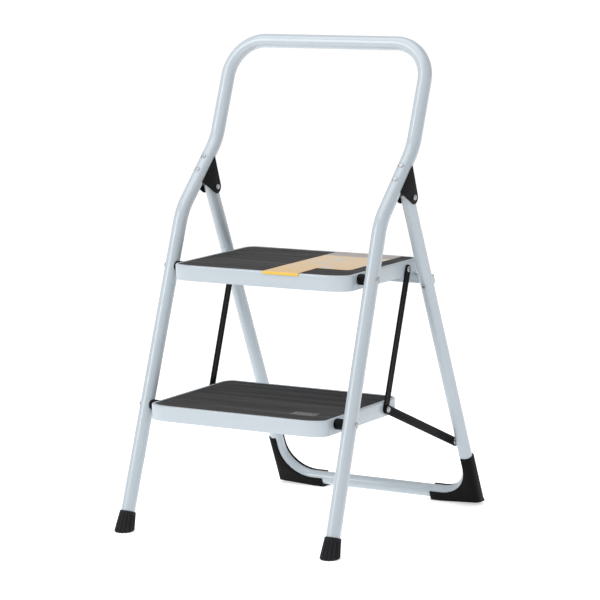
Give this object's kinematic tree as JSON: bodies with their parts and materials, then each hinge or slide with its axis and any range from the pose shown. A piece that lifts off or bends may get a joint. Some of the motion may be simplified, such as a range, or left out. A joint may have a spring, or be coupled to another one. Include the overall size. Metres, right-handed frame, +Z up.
{
  "type": "step stool",
  "caption": "Folding two-tread step stool: bent tube frame with a tall hand hoop, hinged rear frame with corner shoes, rubber-topped tray treads and flat link bars.",
  "frame": {"origin": "on the floor, at the middle of the bounding box in width and depth", "axes": "+Z up, +X to the user's right when facing the stool's back, -Y towards the person climbing"},
  "size_m": [0.4574, 0.5696, 0.8618],
  "materials": {
    "pale_painted_steel": "smooth gloss powder coat",
    "black_painted_steel": "satin black",
    "black_bracket_plastic": "moulded satin",
    "black_foot_rubber": "ribbed matt",
    "dark_mat_rubber": "fine ribbed matt",
    "zinc_rivet": "zinc plated",
    "printed_card": "glossy sleeve, blank"
  },
  "bodies": {
    "front_frame": {"front_frame_tube": "pale_painted_steel", "front_foot_left": "black_foot_rubber", "hinge_bracket_left": "black_bracket_plastic", "bracket_rivet_left_lower": "zinc_rivet", "bracket_rivet_left_upper": "zinc_rivet", "hinge_pin_left": "zinc_rivet", "step_pin_upper_left": "zinc_rivet", "pivot_spacer_upper_left": "black_bracket_plastic", "step_pin_lower_left": "zinc_rivet", "pivot_spacer_lower_left": "black_bracket_plastic", "front_foot_right": "black_foot_rubber", "hinge_bracket_right": "black_bracket_plastic", "bracket_rivet_right_lower": "zinc_rivet", "bracket_rivet_right_upper": "zinc_rivet", "hinge_pin_right": "zinc_rivet", "step_pin_upper_right": "zinc_rivet", "pivot_spacer_upper_right": "black_bracket_plastic", "step_pin_lower_right": "zinc_rivet", "pivot_spacer_lower_right": "black_bracket_plastic"},
    "upper_tread": {"upper_link_pin_left": "zinc_rivet", "upper_link_pin_right": "zinc_rivet", "upper_tread_tray": "pale_painted_steel", "upper_tread_mat": "dark_mat_rubber", "tread_card": "printed_card"},
    "lower_tread": {"lower_link_pin_left": "zinc_rivet", "lower_link_pin_right": "zinc_rivet", "lower_tread_tray": "pale_painted_steel", "lower_tread_mat": "dark_mat_rubber"},
    "upper_links": {"upper_link_left": "black_painted_steel", "upper_link_right": "black_painted_steel"},
    "lower_links": {"lower_link_left": "black_painted_steel", "rear_link_stud_left": "zinc_rivet", "lower_link_right": "black_painted_steel", "rear_link_stud_right": "zinc_rivet"},
    "rear_frame": {"rear_shoe_left": "black_bracket_plastic", "rear_shoe_right": "black_bracket_plastic", "rear_frame_tube": "pale_painted_steel", "rear_cross_bar": "pale_painted_steel", "cross_bar_rivet_left": "zinc_rivet", "rear_tube_plug_left": "black_bracket_plastic", "cross_bar_rivet_right": "zinc_rivet", "rear_tube_plug_right": "black_bracket_plastic"}
  },
  "joints": [
    {"name": "upper_tread_fold", "type": "hinge", "parent": "front_frame", "child": "upper_tread", "pos_m": [0, -0.11824, 0.45574], "axis": [1, 0, 0], "range_deg": [0, 62]},
    {"name": "lower_tread_fold", "type": "hinge", "parent": "front_frame", "child": "lower_tread", "pos_m": [0, -0.19551, 0.21693], "axis": [1, 0, 0], "range_deg": [0, 62]},
    {"name": "upper_link_swing", "type": "hinge", "parent": "upper_tread", "child": "upper_links", "pos_m": [0, 0.04782, 0.45645], "axis": [1, 0, 0], "range_deg": [-62, 0]},
    {"name": "lower_link_swing", "type": "hinge", "parent": "lower_tread", "child": "lower_links", "pos_m": [0, -0.02945, 0.21764], "axis": [1, 0, 0], "range_deg": [-139.18, 0]},
    {"name": "rear_frame_fold", "type": "hinge", "parent": "front_frame", "child": "rear_frame", "pos_m": [0, 0.00639, 0.58779], "axis": [1, 0, 0], "range_deg": [-42.73, 0]}
  ],
  "couplings": [
    {"joint": "lower_tread_fold", "follows": "upper_tread_fold", "ratio": 1},
    {"joint": "upper_link_swing", "follows": "upper_tread_fold", "ratio": -1},
    {"joint": "lower_link_swing", "follows": "upper_tread_fold", "ratio": -2.2446},
    {"joint": "rear_frame_fold", "follows": "upper_tread_fold", "ratio": -0.689}
  ]
}
